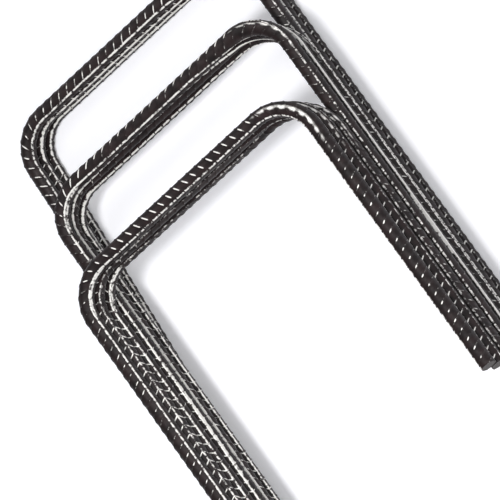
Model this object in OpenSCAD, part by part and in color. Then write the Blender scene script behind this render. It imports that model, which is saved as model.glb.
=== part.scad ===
// Bundle of U-shaped reinforcement stirrups for concrete.
// Three packs of bent bar lie flat on one another. Their leg ends are flush, and
// each pack is longer than the one on it, so the closed ends stand out in steps.
// X runs along the backs, +Y points to the closed ends and +Z is up.
// The origin is the middle of the bundle's footprint, at floor level.

/* [Bar] */
// Diameter of the reinforcing bar
bar_d = 10; // [6:0.5:14]

/* [Stirrup] */
// Width of a stirrup over the outside of its two legs
stirrup_w = 200; // [140:5:400]
// Inside radius of the left bends
left_bend_inner_r = 20; // [12:1:30]
// Inside radius of the right bend of the uppermost stirrup in a pack
right_bend_inner_r = 24; // [12:1:30]
// Amount by which each right bend is wider than the one on it in its pack
right_bend_ease = 3; // [0:0.5:4]
// Diameter that the bar loses in a bend, where it is drawn out
bend_draw = 0.1; // [0.05:0.05:0.4]
// Length of the top pack's stirrups, from the outside of the back to the leg ends
top_stirrup_l = 222; // [150:1:600]

/* [Bundle] */
// Number of stirrups lying on one another in each pack
pack_n = 3; // [1:1:6]
// Distance that the middle pack stands out past the top pack
top_step = 62; // [30:1:120]
// Distance that the bottom pack stands out past the middle pack
middle_step = 60; // [30:1:120]
// Air between a layer of bars and the layer on it
layer_gap = 0.3; // [0.1:0.1:0.6]

/* [How the packs lie] */
// Sideways lean of the top pack, from each stirrup to the one on it
top_lean = -2.2; // [-3:0.1:3]
// Sideways place of the bottom pack against the middle pack
bottom_shift = -4.5; // [-5:0.5:5]
// Distance that each stirrup of the bottom pack stands out past the one on it
bottom_creep = 0.9; // [0:0.1:2]
// Width that each stirrup of the bottom pack lacks, on the left, against the one on it
bottom_taper = 1.7; // [0:0.1:3]
// Angle by which the bottom pack's uppermost left leg has sprung open
bottom_left_spring = 2; // [0:0.1:4]
// Angle by which each left leg of the bottom pack has sprung further than the one on it
bottom_left_fan = 1; // [0:0.1:1.5]
// Angle by which the bottom pack's right legs have sprung open
bottom_right_spring = 0.2; // [0:0.1:4]

/* [Hidden] */
$fn = 64;

// Packs from the floor up, and the colour of the mill scale on their bars
packs = ["bottom", "middle", "top"];
scale_colour = "#3b3736";

bar_r = bar_d / 2;
layer_pitch = bar_d + layer_gap;

// Length by which the full bar runs on into the thinner bend
bend_lap = 5 * bend_draw;

// Stirrups of a pack, counted from its lowest one
layers = [1 : pack_n];

function node_name(pack, layer) = str(pack, "_stirrup_", layer);

// Length of a stirrup from the outside of its back to the line of the leg ends
function stirrup_l(pack, layer) =
    pack == "top" ? top_stirrup_l
    : pack == "middle" ? top_stirrup_l + top_step
    : top_stirrup_l + top_step + middle_step + bottom_creep * (pack_n - layer);

// Width that a stirrup lacks against the uppermost one of its pack
function taper(pack, layer) = pack == "bottom" ? bottom_taper * (pack_n - layer) : 0;

// Angle by which a leg has sprung open, from square to the back
function spring(pack, layer, side) =
    pack != "bottom" ? 0
    : side == "left" ? bottom_left_spring + bottom_left_fan * (pack_n - layer)
    : bottom_right_spring;

// Sideways place of a stirrup's middle, and the height of its centreline over the floor
function side_x(pack, layer) =
    pack == "bottom" ? bottom_shift + taper(pack, layer) / 2
    : pack == "top" ? top_lean * layer
    : 0;
function layer_z(pack, layer) =
    bar_r + (search([pack], packs)[0] * pack_n + layer - 1) * layer_pitch;

// Radius of the bar's centreline in a bend
function bend_r(layer, side) = bar_r + (
    side == "left" ? left_bend_inner_r
    : right_bend_inner_r + right_bend_ease * (pack_n - layer));

// Distance from a stirrup's middle to the centre of a bend
function bend_x(pack, layer, side) =
    (stirrup_w - taper(pack, layer)) / 2 - bar_r - bend_r(layer, side);

// Straight length of a leg from its bend to the line of the leg ends
function leg_straight(pack, layer, side) =
    let (angle = spring(pack, layer, side), r = bend_r(layer, side))
    (stirrup_l(pack, layer) - bar_r - r + r * sin(angle)) / cos(angle);

// Distance from a stirrup's middle to the outermost corner of one leg
function leg_reach(pack, layer, side) =
    let (angle = spring(pack, layer, side))
    bend_x(pack, layer, side) + (bend_r(layer, side) + bar_r) * cos(angle)
        + leg_straight(pack, layer, side) * sin(angle);

// The footprint's edges, measured from the middle pack's centreline and the leg ends
left_x = min([for (pack = packs, layer = layers)
    side_x(pack, layer) - leg_reach(pack, layer, "left")]);
right_x = max([for (pack = packs, layer = layers)
    side_x(pack, layer) + leg_reach(pack, layer, "right")]);
front_y = -bar_r * sin(max(spring("bottom", 1, "left"), spring("bottom", 1, "right")));
back_y = stirrup_l("bottom", 1);

// Straight bar along +X between two points on the X axis
module straight_bar(from, to)
    translate([from, 0, 0])
        rotate([0, 90, 0])
            cylinder(d = bar_d, h = to - from);

// Quarter turn of bar about the origin, less the angle by which its leg has sprung open
module bar_bend(r, angle)
    rotate_extrude(angle = 90 - angle)
        translate([r, 0])
            circle(d = bar_d - bend_draw);

// One bend and the leg that it carries, drawn on the right
module bent_leg(pack, layer, side) {
    angle = spring(pack, layer, side);
    r = bend_r(layer, side);
    translate([bend_x(pack, layer, side), stirrup_l(pack, layer) - bar_r - r, 0])
        rotate([0, 0, angle]) {
            bar_bend(r, angle);
            translate([r, 0, 0])
                rotate([0, 0, -90])
                    straight_bar(-bend_lap, leg_straight(pack, layer, side));
        }
}

// One stirrup with its leg ends on the X axis, bent from a single bar
module bent_stirrup(pack, layer) {
    translate([0, stirrup_l(pack, layer) - bar_r, 0])
        straight_bar(
            -bend_x(pack, layer, "left") - bend_lap,
            bend_x(pack, layer, "right") + bend_lap
        );
    bent_leg(pack, layer, "right");
    mirror([1, 0, 0])
        bent_leg(pack, layer, "left");
}

// One stirrup at its place in the bundle
module stirrup(pack, layer)
    color(scale_colour)
        translate([
            side_x(pack, layer) - (left_x + right_x) / 2,
            -(front_y + back_y) / 2,
            layer_z(pack, layer)
        ])
            bent_stirrup(pack, layer);

for (pack = packs, layer = layers)
    stirrup(pack, layer);
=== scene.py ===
import math

import bmesh
import bpy
from mathutils import Matrix, Vector


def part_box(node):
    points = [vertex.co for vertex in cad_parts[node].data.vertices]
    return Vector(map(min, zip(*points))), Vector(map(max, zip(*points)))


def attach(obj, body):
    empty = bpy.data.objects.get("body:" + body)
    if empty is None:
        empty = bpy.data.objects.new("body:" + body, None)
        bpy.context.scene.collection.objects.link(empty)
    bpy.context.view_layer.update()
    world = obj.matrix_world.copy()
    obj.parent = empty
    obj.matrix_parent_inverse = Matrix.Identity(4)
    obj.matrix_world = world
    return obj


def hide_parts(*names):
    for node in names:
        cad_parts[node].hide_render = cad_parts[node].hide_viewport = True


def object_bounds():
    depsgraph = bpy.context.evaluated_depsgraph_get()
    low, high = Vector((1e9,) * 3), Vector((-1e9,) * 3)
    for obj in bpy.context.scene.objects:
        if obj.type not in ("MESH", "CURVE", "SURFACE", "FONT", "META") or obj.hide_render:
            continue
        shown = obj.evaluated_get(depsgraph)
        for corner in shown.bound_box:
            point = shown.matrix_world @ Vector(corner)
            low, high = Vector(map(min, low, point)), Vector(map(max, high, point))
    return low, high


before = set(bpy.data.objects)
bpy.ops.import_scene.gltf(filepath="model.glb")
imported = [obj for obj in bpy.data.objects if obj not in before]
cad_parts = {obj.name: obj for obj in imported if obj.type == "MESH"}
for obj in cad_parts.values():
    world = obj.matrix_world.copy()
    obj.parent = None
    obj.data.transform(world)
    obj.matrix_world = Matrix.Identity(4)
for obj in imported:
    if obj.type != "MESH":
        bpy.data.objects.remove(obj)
cadLow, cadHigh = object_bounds()
print("frame: loaded", len(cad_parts), "stirrups")

mm = 0.001
upward = Vector((0, 0, 1))


# 1 as far as the first distance and 0 from the second one on, with a smooth fall between them
def fade(distance, full, gone):
    t = min(max((distance - full) / (gone - full), 0), 1)
    return 1 - t * t * (3 - 2 * t)


# sRGB hex code to linear colour
def hexColour(code):
    channels = [int(code[i:i + 2], 16) / 255 for i in (1, 3, 5)]
    return (*[c / 12.92 if c <= 0.04045 else ((c + 0.055) / 1.055) ** 2.4 for c in channels], 1)


# one node with its settings, and its inputs as links or as plain values
def addNode(tree, kind, inputs=None, **settings):
    made = tree.nodes.new(kind)
    for name, value in settings.items():
        setattr(made, name, value)
    for socket, value in (inputs or {}).items():
        if isinstance(value, bpy.types.NodeSocket):
            tree.links.new(value, made.inputs[socket])
        else:
            made.inputs[socket].default_value = value
    return made


def compute(tree, operation, *values):
    return addNode(tree, "ShaderNodeMath", dict(enumerate(values)), operation=operation).outputs[0]


# a value carried from one range to another and held at its ends
def remap(tree, value, span, target=(0, 1), curve="LINEAR"):
    return addNode(tree, "ShaderNodeMapRange", {
        "Value": value, "From Min": span[0], "From Max": span[1],
        "To Min": target[0], "To Max": target[1]}, interpolation_type=curve).outputs[0]


def mixColours(tree, share, first, second):
    return addNode(tree, "ShaderNodeMix", {
        "Factor": share, "A": first, "B": second}, data_type="RGBA").outputs["Result"]


# a noise that stays with the piece, with spots of about one size
def addNoise(tree, size, detail, roughness=0.5):
    place = addNode(tree, "ShaderNodeTexCoord").outputs["Object"]
    return addNode(tree, "ShaderNodeTexNoise", {
        "Vector": place, "Scale": 1 / size, "Detail": detail, "Roughness": roughness}).outputs["Fac"]


def newMaterial(name):
    made = bpy.data.materials.new(name)
    made.use_nodes = True
    made.node_tree.nodes.clear()
    return made, made.node_tree


# the surface of a material, with fine pits or streaks from a height
def addSkin(tree, look, height, inputs):
    bump = addNode(tree, "ShaderNodeBump", {
        "Height": height, "Strength": look["bumpStrength"], "Distance": look["bumpDepth"]})
    skin = addNode(tree, "ShaderNodeBsdfPrincipled", {**inputs, "Normal": bump.outputs[0]})
    addNode(tree, "ShaderNodeOutputMaterial", {"Surface": skin.outputs[0]})


# Camera: a long lens from the right of the open end, turned so that the legs fall to the lower right
photoView = {
    "azimuth": 44.813,          # degrees, seen from above
    "elevation": 62.462,
    "roll": -83.911,
    "distance": 6.743,          # metres
    "clipEnd": 100,
    "sensorWidth": 36,          # mm
    "pixelsPerMm": 1.637,
    "picture": 500,             # pixels on a side
    "aim": (11.62, 11.27, 40),  # mm, the point that the next line places in the picture
    "aimPixel": (253.1, 228.7),
}


def cameraAxes(view):
    azimuth, elevation, roll = (math.radians(view[k]) for k in ("azimuth", "elevation", "roll"))
    back = Vector((
        math.sin(azimuth) * math.cos(elevation),
        -math.cos(azimuth) * math.cos(elevation),
        math.sin(elevation),
    ))
    level = upward.cross(back).normalized()
    turn = Matrix.Rotation(roll, 3, back)
    return turn @ level, turn @ back.cross(level), back


def addCamera(view):
    right, up, back = cameraAxes(view)
    lens = bpy.data.cameras.new("photoLens")
    lens.sensor_width = view["sensorWidth"]
    lens.lens = view["pixelsPerMm"] / mm * view["distance"] * view["sensorWidth"] / view["picture"]
    lens.clip_end = view["clipEnd"]
    middle = view["picture"] / 2
    pixel = mm / view["pixelsPerMm"]
    place = Vector(view["aim"]) * mm + back * view["distance"]
    place -= right * (view["aimPixel"][0] - middle) * pixel
    place -= up * (middle - view["aimPixel"][1]) * pixel
    camera = bpy.data.objects.new("photoCamera", lens)
    camera.matrix_world = Matrix.Translation(place) @ Matrix((right, up, back)).transposed().to_4x4()
    bpy.context.scene.collection.objects.link(camera)
    bpy.context.scene.camera = camera


addCamera(photoView)
print("camera: lens", round(bpy.context.scene.camera.data.lens), "mm")


# Hot-rolled steel under mill scale: a thin, hard, nearly black oxide with a brown cast and a semi-gloss
# skin; its bright steel colour on ribs, keels and bends is partly rubbed steel, partly painted highlights
millScale = {
    "dark": "#181313",
    "brown": "#291f1f",
    "bareSteelAndHighlight": "#efece7",
    "brightPartMetal": 0.25,          # scratched so finely that it scatters more than it mirrors
    "patch": 9 * mm,            # clouds in the oxide
    "scuff": 2.6 * mm,
    "noiseSpan": (0.35, 0.65),  # where clouds and scuffs begin and are full
    "scuffedWearAndGlints": (0.25, 0.8),     # least and most that scuffs leave of the wear and the painted glints
    # least and most that scuffs leave of the painted highlight band
    "scuffedPaintedGleam": (0.7, 1.2),
    "brightSpan": (0.2, 0.42),    # wear and painted glint at which the bright steel colour begins and is full
    # painted highlight at which the bright colour begins and is full
    "paintedGleamSpan": (0.2, 0.95),
    "grain": 0.7 * mm,          # pits of the scale, drawn coarser than real so that they show
    "grainSpan": (0.3, 0.7),
    "bumpStrength": 0.25,
    "bumpDepth": 0.05 * mm,
    "oxideIor": 1.32,
    "roughness": (0.22, 0.34),
    "dullRoughness": 0.3,       # added on a bar that lay longer in the open
}


def makeMillScale(look):
    made, tree = newMaterial("hot_rolled_mill_scale")
    wearAndGlints, paintedGleam, dull = (
        addNode(tree, "ShaderNodeAttribute", attribute_name=name).outputs["Fac"]
        for name in ("wearAndGlints", "paintedGleam", "dull"))
    patches = addNoise(tree, look["patch"], detail=4, roughness=0.6)
    scuffs = addNoise(tree, look["scuff"], detail=3, roughness=0.65)
    grain = addNoise(tree, look["grain"], detail=2)
    clouds = remap(tree, patches, look["noiseSpan"])
    oxide = mixColours(tree, clouds, hexColour(look["dark"]), hexColour(look["brown"]))
    # wear of the scale together with painted glints, broken up by scuffs
    markedBright = compute(tree, "MULTIPLY", wearAndGlints, remap(tree, scuffs, look["noiseSpan"], look["scuffedWearAndGlints"]))
    # the painted highlight band on the right bend, broken up by scuffs
    paintedShine = compute(tree, "MULTIPLY", paintedGleam, remap(tree, scuffs, look["noiseSpan"], look["scuffedPaintedGleam"]))
    # bright steel colour where the scale is rubbed through and where glints and highlights are painted
    bareAndHighlight = compute(
        tree, "MAXIMUM", remap(tree, markedBright, look["brightSpan"], curve="SMOOTHSTEP"),
        remap(tree, paintedShine, look["paintedGleamSpan"], curve="SMOOTHSTEP"))
    gloss = remap(tree, grain, look["grainSpan"], look["roughness"])
    addSkin(tree, look, grain, {
        "Base Color": mixColours(tree, bareAndHighlight, oxide, hexColour(look["bareSteelAndHighlight"])),
        "Metallic": compute(tree, "MULTIPLY", bareAndHighlight, look["brightPartMetal"]),
        "Roughness": compute(tree, "MULTIPLY_ADD", dull, look["dullRoughness"], gloss),
        "IOR": look["oxideIor"]})
    return made


# Sheared steel: the end of a cut bar, gone dark in the open, with torn streaks
shearedEnd = {
    "bright": "#4e4946",
    "dull": "#2a2725",
    "streak": 0.8 * mm,
    "bumpStrength": 0.4,
    "bumpDepth": 0.1 * mm,
    "metal": 0.3,
    "roughness": 0.6,
}


def makeShearedEnd(look):
    made, tree = newMaterial("sheared_steel")
    streaks = addNoise(tree, look["streak"], detail=3)
    addSkin(tree, look, streaks, {
        "Base Color": mixColours(tree, streaks, hexColour(look["dull"]), hexColour(look["bright"])),
        "Metallic": look["metal"], "Roughness": look["roughness"]})
    return made


scaleMaterial = makeMillScale(millScale)
endMaterial = makeShearedEnd(shearedEnd)
print("materials: mill scale and sheared steel")


# 10 mm ribbed bar as it leaves the rolls: two keels run along it, and cross ribs lean between them
rolledBar = {
    "length": 1.0,              # metres, more than any stirrup takes
    "coreRadius": 4.85 * mm,
    "ribPitch": 7.0 * mm,
    "ribHeight": 0.32 * mm,
    "ribCrest": 0.45 * mm,      # width on top
    "ribFoot": 1.4 * mm,        # width at the core
    "ribLean": 56,              # degrees between a cross rib and the bar
    "ribEndHeight": 0.5,        # share of its height with which a rib runs into a keel
    "ribRise": 40,              # degrees round the bar from there to its full height
    "keelHeight": 0.5 * mm,
    "keelFoot": 15,             # degrees round the bar from a keel's crest to its foot
    "keelMarkSpread": 1.2,             # over 1, the crest's bright mark, rubbed steel with a painted highlight, spreads over some width
    "keelSteps": 4,
    "flankSteps": 12,
    "weld": 0.01 * mm,          # between one pitch and the next
}


# degrees from the upper keel to each line of the section, once round the bar
def sectionAngles(bar):
    foot, keelSteps, flankSteps = bar["keelFoot"], bar["keelSteps"], bar["flankSteps"]
    half = [foot * i / keelSteps for i in range(keelSteps)]
    half += [foot + (180 - 2 * foot) * i / flankSteps for i in range(flankSteps)]
    half += [180 - foot + foot * i / keelSteps for i in range(keelSteps)]
    return half + [angle - 180 for angle in half]


# the heights of the cross rib and of the keel at one place, each from 0 to 1
def reliefAt(bar, offset, angle):
    across = fade(abs(offset), bar["ribCrest"] / 2, bar["ribFoot"] / 2)
    fromKeel = min(abs(angle), 180 - abs(angle))
    around = min(1, bar["ribEndHeight"] + (1 - bar["ribEndHeight"]) * fromKeel / bar["ribRise"])
    return across * around, fade(fromKeel, 0, bar["keelFoot"])


# one pitch of the bar: a ring of the section, extruded over one cross rib
def makeOnePitch(bar):
    bm = bmesh.new()
    angleLayer, ribLayer, keelLayer, valleyLayer = (
        bm.verts.layers.float.new(name) for name in ("angle", "rib", "keel", "valley"))
    angles = sectionAngles(bar)
    ring = bmesh.ops.create_circle(bm, segments=len(angles), radius=bar["coreRadius"])["verts"]
    for vert, angle in zip(ring, angles):
        vert[angleLayer] = angle
    half, foot, crest = bar["ribPitch"] / 2, bar["ribFoot"] / 2, bar["ribCrest"] / 2
    side = [crest, (foot + crest) / 2, foot, (half + foot) / 2, half]
    offsets = [-offset for offset in reversed(side)] + [0] + side
    leanStep = bar["coreRadius"] / math.tan(math.radians(bar["ribLean"]))
    edges = bm.edges[:]
    for offset in offsets:
        for vert in ring:
            rib, keel = reliefAt(bar, offset, vert[angleLayer])
            radius = bar["coreRadius"] + max(rib * bar["ribHeight"], keel * bar["keelHeight"])
            turn = math.radians(vert[angleLayer])
            vert.co = (offset - leanStep * abs(turn), radius * math.sin(turn), radius * math.cos(turn))
            vert[ribLayer] = rib
            vert[keelLayer] = min(1, bar["keelMarkSpread"] * keel)
            vert[valleyLayer] = max(0, abs(offset) - foot) / (half - foot)
        if offset < half:
            grown = bmesh.ops.extrude_edge_only(bm, edges=edges)["geom"]
            ring = [part for part in grown if isinstance(part, bmesh.types.BMVert)]
            edges = [part for part in grown if isinstance(part, bmesh.types.BMEdge)]
    mesh = bpy.data.meshes.new("onePitch")
    bm.to_mesh(mesh)
    bm.free()
    return mesh


# the pitch repeated to a bar that is long enough to cut any stirrup from, centred on the origin
def rollBar(bar):
    pitch = bpy.data.objects.new("onePitch", makeOnePitch(bar))
    bpy.context.scene.collection.objects.link(pitch)
    repeat = pitch.modifiers.new("repeat", "ARRAY")
    repeat.count = math.ceil(bar["length"] / bar["ribPitch"])
    repeat.use_relative_offset = False
    repeat.use_constant_offset = True
    repeat.constant_offset_displace = (bar["ribPitch"], 0, 0)
    repeat.use_merge_vertices = True
    repeat.merge_threshold = bar["weld"]
    ready = pitch.evaluated_get(bpy.context.evaluated_depsgraph_get())
    rolled = bpy.data.meshes.new_from_object(ready)
    rolled.transform(Matrix.Translation((-repeat.count * bar["ribPitch"] / 2, 0, 0)))
    bpy.data.objects.remove(pitch)
    return rolled


# the two sides of a stirrup, as places in the lists of its plan, and their signs along X
leftSide, rightSide = 0, 1
signs = (-1, 1)

# How a bar is bent, how it is turned about its own length before that, and where it is marked bright,
# partly rubbed steel and partly painted highlights and glints.
# Angles round the bar are in degrees from upright towards the inside of the stirrup. A reach is the
# angle or the distance from the middle of a mark to where it ends.
stirrupShape = {
    "barRadius": 5 * mm,
    "width": 200 * mm,          # over the legs
    "tapers": {"bottom_stirrup_1": 3.4 * mm, "bottom_stirrup_2": 1.7 * mm},
    "leftBend": 25 * mm,        # centreline of the bar in a left bend
    "rightBends": (35 * mm, 32 * mm, 29 * mm),   # from the lowest stirrup of a pack to the uppermost
    # degrees by which the left and the right leg have sprung open
    "springs": {
        "bottom_stirrup_1": (4, 0.2),
        "bottom_stirrup_2": (3, 0.2),
        "bottom_stirrup_3": (2, 0.2),
    },
    # for each bar, in threes on the left leg, on the back and on the right leg
    # keel: angle of the upper keel; keelWearAndGlint: how bright its line is, rubbed steel with a painted
    # highlight; dash: how far the ribs break it
    # ribs: angle and reach of the marks on the ribs, painted glints drawn as rubbed steel, and how bright
    # they are
    # lean: which way the ribs lean; dull: how dull the scale is; leftBendMark: how bright the left bend is
    # marked, partly rubbed steel and partly a painted highlight
    # paintedGleam: angle and reach of the painted highlight band on the right bend, and how bright it is
    "bars": {
        "bottom_stirrup_1": {
            "keel": (58, 63, 125), "keelWearAndGlint": (1.0, 1.2, 0.4), "dash": (0.3, 0.1, 0.6),
            "ribs": ((50, 40, 1.1), (58, 30, 1.3), (-38, 30, 2.2)),
            "lean": 1, "dull": (0.9, 0.9, 0.9), "leftBendMark": 0.7, "paintedGleam": (-45, 20, 0.9)},
        "bottom_stirrup_2": {
            "keel": (62, 67, 140), "keelWearAndGlint": (0.9, 1.1, 1.0), "dash": (0.3, 0.0, 0.8),
            "ribs": ((50, 40, 1.1), (58, 30, 1.3), (-70, 24, 0.4)),
            "lean": 1, "dull": (0.9, 0.9, 0.9), "leftBendMark": 0.9, "paintedGleam": (-50, 20, 0.8)},
        "bottom_stirrup_3": {
            "keel": (55, 47, 145), "keelWearAndGlint": (0.75, 0.85, 0.6), "dash": (0.2, 0.0, 0.7),
            "ribs": ((10, 30, 0.95), (14, 40, 0.75), (-15, 20, 0.95)),
            "lean": -1, "dull": (0.8, 0.9, 0.8), "leftBendMark": 0.5, "paintedGleam": (-30, 20, 0.9)},
        "middle_stirrup_1": {
            "keel": (64, 66, 100), "keelWearAndGlint": (0.85, 1.1, 0.8), "dash": (0.2, 0.9, 0.4),
            "ribs": ((64, 26, 1.1), (60, 30, 0.4), (-50, 25, 0.65)),
            "lean": -1, "dull": (1, 1, 1), "leftBendMark": 1.0, "paintedGleam": (-60, 20, 0.8)},
        "middle_stirrup_2": {
            "keel": (46, 30, 116), "keelWearAndGlint": (1.2, 0.8, 1.7), "dash": (0.1, 0.8, 0.0),
            "ribs": ((46, 26, 1.1), (50, 30, 0.3), (-50, 25, 0.4)),
            "lean": 1, "dull": (1, 1, 1), "leftBendMark": 0.4, "paintedGleam": (-50, 20, 0.8)},
        "middle_stirrup_3": {
            "keel": (41, 47, 147), "keelWearAndGlint": (0.9, 0.75, 0.65), "dash": (0.1, 0.1, 0.6),
            "ribs": ((40, 28, 1.1), (-54, 34, 1.7), (-15, 18, 0.6)),
            "lean": -1, "dull": (1, 1, 1), "leftBendMark": 0.7, "paintedGleam": (-30, 18, 0.9)},
        "top_stirrup_1": {
            "keel": (44, 55, -32), "keelWearAndGlint": (0.75, 0.45, 0.55), "dash": (0.4, 0.3, 0.3),
            "ribs": ((32, 34, 1.3), (70, 25, 0.6), (-52, 28, 0.65)),
            "lean": -1, "dull": (0.9, 0.7, 0.9), "leftBendMark": 0.65, "paintedGleam": (-58, 20, 1.1)},
        "top_stirrup_2": {
            "keel": (48, 43, 109), "keelWearAndGlint": (0.6, 0.45, 0.5), "dash": (0.0, 0.3, 0.5),
            "ribs": ((46, 50, 1.3), (40, 25, 0.6), (-20, 15, 1.6)),
            "lean": 1, "dull": (0.9, 0.7, 0.9), "leftBendMark": 0.4, "paintedGleam": (-48, 20, 1.2)},
        "top_stirrup_3": {
            "keel": (49, 52, 50), "keelWearAndGlint": (0.8, 0.75, 0.8), "dash": (0.1, 0.8, 0.9),
            "ribs": ((11, 17, 0.75), (-2, 25, 1.5), (-15, 15, 1.4)),
            "lean": 1, "dull": (0.9, 0.7, 0.9), "leftBendMark": 1.0, "paintedGleam": (-14, 26, 1.2)},
    },
    "slideStep": 0.37,          # share of the rib pitch by which each bar's ribs are moved on
    "blendStart": 0.4,          # share of half a back where it begins to change to the leg's values
    # how far every rib is rubbed bare, from the lowest stirrup of a pack to the uppermost, on the left leg,
    # on the back and on the right leg
    "allRibs": ((0.5, 0.36, 0.36), (0.5, 0.36, 0.36), (0.36, 0.36, 0.36)),
    "ribEdge": 0.5,             # share of a rib's height from which it breaks a bright line of rubbed steel and painted highlight
    # where a left bend is marked bright: rubbed by the bending pin, with a painted highlight on it
    "leftBendRubAndHighlight": {
        "angle": 62,
        "reach": 28,
        "ribReach": 55,         # of the stretch where the ribs lose their own marks
        "gap": 0.2,             # how far the ribs break it
        "middle": 0.5,          # share of the bend's length
        "ends": (0.35, 0.7),    # from there to where it begins to end and is gone
    },
    # where a painted highlight band lies on a right bend, in shares of its length, and how its ribs notch
    # that
    "rightPaintedGleam": {
        "rise": (-0.2, 0.3),
        "fall": (0.7, 1.8),
        "notchBlend": 8,        # degrees outward of the band's middle to no notches, inward to full ones
        "notchCurve": 0.2,      # under 1, the notches are narrow
    },
    # where a painted highlight widens the keel line on a leg: its side, the distance from its end and the
    # reach along it, the angle and the reach round it, and how bright
    "legHighlights": {
        "middle_stirrup_2": (rightSide, 104 * mm, 42 * mm, -58, 30, 1.6),
        "middle_stirrup_3": (leftSide, 108 * mm, 85 * mm, 50, 22, 1.2),
    },
    "endInset": 0.5 * mm,
    "endCrown": 0.2 * mm,
}


# place of a stirrup in its pack, from 0 for the lowest
def layerOf(node):
    return int(node[-1]) - 1


# where the bends are and how long each side is, left and right, from the box of the stirrup's solid
def planStirrup(shape, node):
    low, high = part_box(node)
    springs = [math.radians(angle) for angle in shape["springs"].get(node, (0, 0))]
    bends = [shape["leftBend"], shape["rightBends"][layerOf(node)]]
    barRadius = shape["barRadius"]
    half = (shape["width"] - shape["tapers"].get(node, 0)) / 2 - barRadius
    backY = high.y - barRadius
    endY = low.y + barRadius * math.sin(max(springs))
    backs = [half - bend for bend in bends]
    turns = [bend * (math.pi / 2 - angle) for bend, angle in zip(bends, springs)]
    legs = [(backY - bend - endY + bend * math.sin(angle)) / math.cos(angle)
            for bend, angle in zip(bends, springs)]
    spring = springs[rightSide]
    reach = backs[rightSide] + (bends[rightSide] + barRadius) * math.cos(spring)
    reach += legs[rightSide] * math.sin(spring)
    return {
        "middle": Vector((high.x - reach, backY, (low.z + high.z) / 2)),
        "springs": springs, "bends": bends, "backs": backs, "turns": turns,
        "lengths": [back + turn + leg for back, turn, leg in zip(backs, turns, legs)],
        "blends": [(shape["blendStart"] * back, back + turn) for back, turn in zip(backs, turns)],
    }


# a point of the straight bar, carried round the bends
def bendPoint(plan, point):
    side = rightSide if point.x > 0 else leftSide
    sign = signs[side]
    along = abs(point.x)
    bend, back = plan["bends"][side], plan["backs"][side]
    straight = along - back - plan["turns"][side]
    angle = max(math.pi / 2 - max(0, along - back) / bend, plan["springs"][side])
    outward = Vector((sign * math.cos(angle), math.sin(angle), 0))
    place = plan["middle"] + Vector((sign * min(along, back), -bend, 0))
    if straight > 0:
        place += straight * Vector((sign * math.sin(angle), -math.cos(angle), 0))
    return place + (bend + point.y) * outward + point.z * upward


# a value at one place along the bar, from its values on the left leg, on the back and on the right leg
def alongBar(plan, values, place):
    left, back, right = values
    side, leg = (rightSide, right) if place > 0 else (leftSide, left)
    return leg + (back - leg) * fade(abs(place), *plan["blends"][side])


# how far round a bend a place is, from 0 at its back to 1 at its leg
def bendShare(plan, side, place):
    return (signs[side] * place - plan["backs"][side]) / plan["turns"][side]


# how bright a leg's painted highlight beside its keel is
def legHighlightAt(shape, plan, node, place, inward):
    if node not in shape["legHighlights"]:
        return 0
    side, fromEnd, stretch, angle, reach, level = shape["legHighlights"][node]
    offMiddle = abs(plan["lengths"][side] - signs[side] * place - fromEnd)
    return level * fade(offMiddle, 0, stretch) * fade(abs(inward - angle), 0, reach)


# how far one point is rubbed bare, together with the painted glints, and how bright its painted highlight
# band is, from its place along the bar, its angle round it and the relief there
def wearAndGlintsAt(shape, plan, node, place, inward, relief):
    rib, keel, valley = relief
    bar, leftBendMark, paintedGleam = shape["bars"][node], shape["leftBendRubAndHighlight"], shape["rightPaintedGleam"]
    onRib = min(1, rib / shape["ribEdge"])
    markedBright = fade(abs(bendShare(plan, leftSide, place) - leftBendMark["middle"]), *leftBendMark["ends"])
    offLeftBendMark = abs(inward - leftBendMark["angle"])
    share = bendShare(plan, rightSide, place)
    paintedBandAlong = (1 - fade(share, *paintedGleam["rise"])) * fade(share, *paintedGleam["fall"])
    keptRib = (1 - paintedBandAlong) * (1 - markedBright * fade(offLeftBendMark, 0, leftBendMark["ribReach"]))
    ribAngle, ribReach, ribWearAndGlint = alongBar(plan, [Vector(values) for values in bar["ribs"]], place)
    keelWearAndGlint, dash = alongBar(plan, bar["keelWearAndGlint"], place), alongBar(plan, bar["dash"], place)
    # rubbed rib crests, painted glints on ribs, keel lines with painted highlights, the left bend's mark
    # and painted leg highlights
    wearAndGlints = max(
        rib * alongBar(plan, shape["allRibs"][layerOf(node)], place),
        rib * ribWearAndGlint * fade(abs(inward - ribAngle), ribReach / 2, ribReach) * keptRib,
        keel * keelWearAndGlint * (1 - dash * onRib),
        bar["leftBendMark"] * markedBright * fade(offLeftBendMark, 0, leftBendMark["reach"]) * (1 - leftBendMark["gap"] * onRib),
        legHighlightAt(shape, plan, node, place, inward))
    # a painted highlight band along the right bend, notched at the ribs
    bandAngle, bandReach, bandLevel = bar["paintedGleam"]
    offBand = inward - bandAngle
    notched = max(1 - paintedBandAlong, 1 - fade(offBand, -paintedGleam["notchBlend"], paintedGleam["notchBlend"]))
    notch = notched * (1 - valley ** paintedGleam["notchCurve"])
    return wearAndGlints, bandLevel * paintedBandAlong * fade(abs(offBand), 0, bandReach) * (1 - notch)


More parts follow.
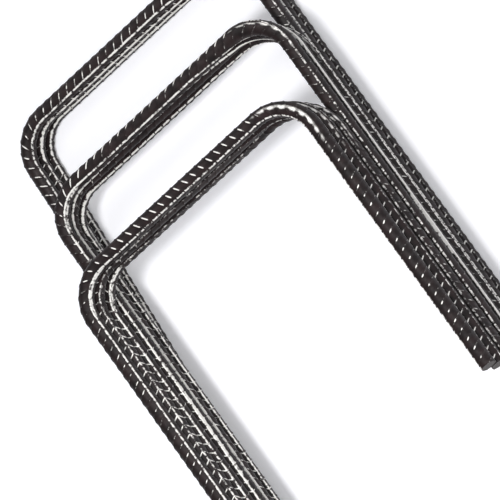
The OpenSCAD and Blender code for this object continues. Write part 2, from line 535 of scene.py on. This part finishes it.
# the rolled bar cut to the stirrup's length at both ends, with a slight crown on each cut
def cutBar(shape, plan, rolled, lean, slide):
    bm = bmesh.new()
    bm.from_mesh(rolled)
    bmesh.ops.scale(bm, verts=bm.verts, vec=(lean, 1, 1))
    bmesh.ops.translate(bm, verts=bm.verts, vec=(slide, 0, 0))
    ends = []
    for sign, length in zip(signs, plan["lengths"]):
        cut = bmesh.ops.bisect_plane(
            bm, geom=bm.verts[:] + bm.edges[:] + bm.faces[:], plane_co=(sign * length, 0, 0),
            plane_no=(sign, 0, 0), clear_outer=True)["geom_cut"]
        rim = [part for part in cut if isinstance(part, bmesh.types.BMEdge)]
        ends += bmesh.ops.edgeloop_fill(bm, edges=rim)["faces"]
    for face in bm.faces:
        face.smooth = True
    rims = bmesh.ops.inset_individual(
        bm, faces=ends, thickness=shape["endInset"], depth=shape["endCrown"])["faces"]
    for face in ends + rims:
        face.smooth = False
        face.material_index = 1     # sheared steel
    bmesh.ops.recalc_face_normals(bm, faces=bm.faces)
    return bm


def bendStirrup(shape, rolled, node, slide):
    plan = planStirrup(shape, node)
    bar = shape["bars"][node]
    bm = cutBar(shape, plan, rolled, bar["lean"], slide)
    wearAndGlintsLayer, dullLayer, paintedGleamLayer = (
        bm.verts.layers.float.new(name) for name in ("wearAndGlints", "dull", "paintedGleam"))
    angleLayer, *reliefLayers = (
        bm.verts.layers.float[name] for name in ("angle", "rib", "keel", "valley"))
    for vert in bm.verts:
        place = vert.co.x
        turn = alongBar(plan, bar["keel"], place)
        inward = (turn - vert[angleLayer] + 180) % 360 - 180
        relief = [vert[layer] for layer in reliefLayers]
        # wear together with painted glints, and the painted highlight band
        vert[wearAndGlintsLayer], vert[paintedGleamLayer] = wearAndGlintsAt(shape, plan, node, place, inward, relief)
        vert[dullLayer] = alongBar(plan, bar["dull"], place)
        vert.co = bendPoint(plan, Matrix.Rotation(math.radians(turn), 3, "X") @ vert.co)
    mesh = bpy.data.meshes.new("ribbed_" + node)
    bm.to_mesh(mesh)
    bm.free()
    mesh.materials.append(scaleMaterial)
    mesh.materials.append(endMaterial)
    piece = bpy.data.objects.new("ribbed_" + node, mesh)
    bpy.context.scene.collection.objects.link(piece)
    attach(piece, "root")
    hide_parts(node)
    return piece


rolled = rollBar(rolledBar)
stirrups = []
for index, node in enumerate(sorted(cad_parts)):
    slide = rolledBar["ribPitch"] * (stirrupShape["slideStep"] * index % 1)
    stirrups.append(bendStirrup(stirrupShape, rolled, node, slide))
bpy.data.meshes.remove(rolled)
triangles = sum(len(face.vertices) - 2 for piece in stirrups for face in piece.data.polygons)
print("stirrups:", len(stirrups), "bent bars,", triangles, "triangles")


# White sweep under the bundle, and the lamps
studio = {
    "floor": "#eeeef2",
    "floorSize": 40,
    "floorGlow": 0.22,          # lifts the lit floor to white in the picture
    "sky": "#a5a7ad",
    "skyLevel": 0.6,
    "lamps": {
        # direction from the bundle, metres away, width and length in metres, watts, lights or glints
        "frontKey": ((0.057, -0.21, 0.975), 1.3, (0.2, 0.2), 11.6, "lights"),
        "frontFill": ((0.32, -0.52, 0.79), 2.0, (1.4, 1.0), 13, "lights"),
        "rearKey": ((0.02, 0.25, 0.968), 2.0, (0.9, 0.9), 6, "lights"),
        "longGlint": ((0.17, 0.5, 0.85), 1.4, (0.36, 1.3), 14, "glints"),
        "rightGlint": ((0.67, -0.67, 0.32), 1.4, (0.4, 0.4), 16, "glints"),
    },
}


def makePaper(setup):
    made, tree = newMaterial("white_paper_sweep")
    paper = addNode(tree, "ShaderNodeBsdfDiffuse", {"Color": hexColour(setup["floor"])})
    ray = addNode(tree, "ShaderNodeLightPath").outputs
    seen = compute(tree, "MAXIMUM", ray["Is Camera Ray"], ray["Is Glossy Ray"])
    seen = compute(tree, "MAXIMUM", seen, ray["Is Transmission Ray"])
    glow = addNode(tree, "ShaderNodeEmission", {
        "Strength": compute(tree, "MULTIPLY", seen, setup["floorGlow"])})
    both = addNode(tree, "ShaderNodeAddShader", {0: paper.outputs[0], 1: glow.outputs[0]})
    addNode(tree, "ShaderNodeOutputMaterial", {"Surface": both.outputs[0]})
    return made


# the floor touches the lowest rib
def makeFloor(setup, pieces):
    bm = bmesh.new()
    bmesh.ops.create_grid(bm, x_segments=1, y_segments=1, size=setup["floorSize"] / 2)
    lowest = min(vert.co.z for piece in pieces for vert in piece.data.vertices)
    bmesh.ops.translate(bm, verts=bm.verts, vec=(0, 0, lowest))
    mesh = bpy.data.meshes.new("floor")
    bm.to_mesh(mesh)
    bm.free()
    mesh.materials.append(makePaper(setup))
    floor = bpy.data.objects.new("floor", mesh)
    bpy.context.scene.collection.objects.link(floor)


def addLamps(setup):
    middle = (cadLow + cadHigh) / 2
    for name, (direction, away, (width, length), watts, job) in setup["lamps"].items():
        direction = Vector(direction).normalized()
        lamp = bpy.data.lights.new(name, "AREA")
        lamp.shape = "ELLIPSE"
        lamp.size = width
        lamp.size_y = length
        lamp.energy = watts
        made = bpy.data.objects.new(name, lamp)
        made.location = middle + direction * away
        made.rotation_mode = "QUATERNION"
        made.rotation_quaternion = direction.to_track_quat("Z", "Y")
        made.visible_camera = False
        made.visible_diffuse = job == "lights"
        made.visible_glossy = job == "glints"
        bpy.context.scene.collection.objects.link(made)


def setWorld(setup):
    world = bpy.data.worlds.new("studioRoom")
    world.use_nodes = True
    world.node_tree.nodes.clear()
    air = addNode(world.node_tree, "ShaderNodeBackground", {
        "Color": hexColour(setup["sky"]), "Strength": setup["skyLevel"]})
    addNode(world.node_tree, "ShaderNodeOutputWorld", {"Surface": air.outputs[0]})
    bpy.context.scene.world = world
    bpy.context.scene.view_settings.view_transform = "Standard"


makeFloor(studio, stirrups)
addLamps(studio)
setWorld(studio)
print("studio: floor, lamps and world")
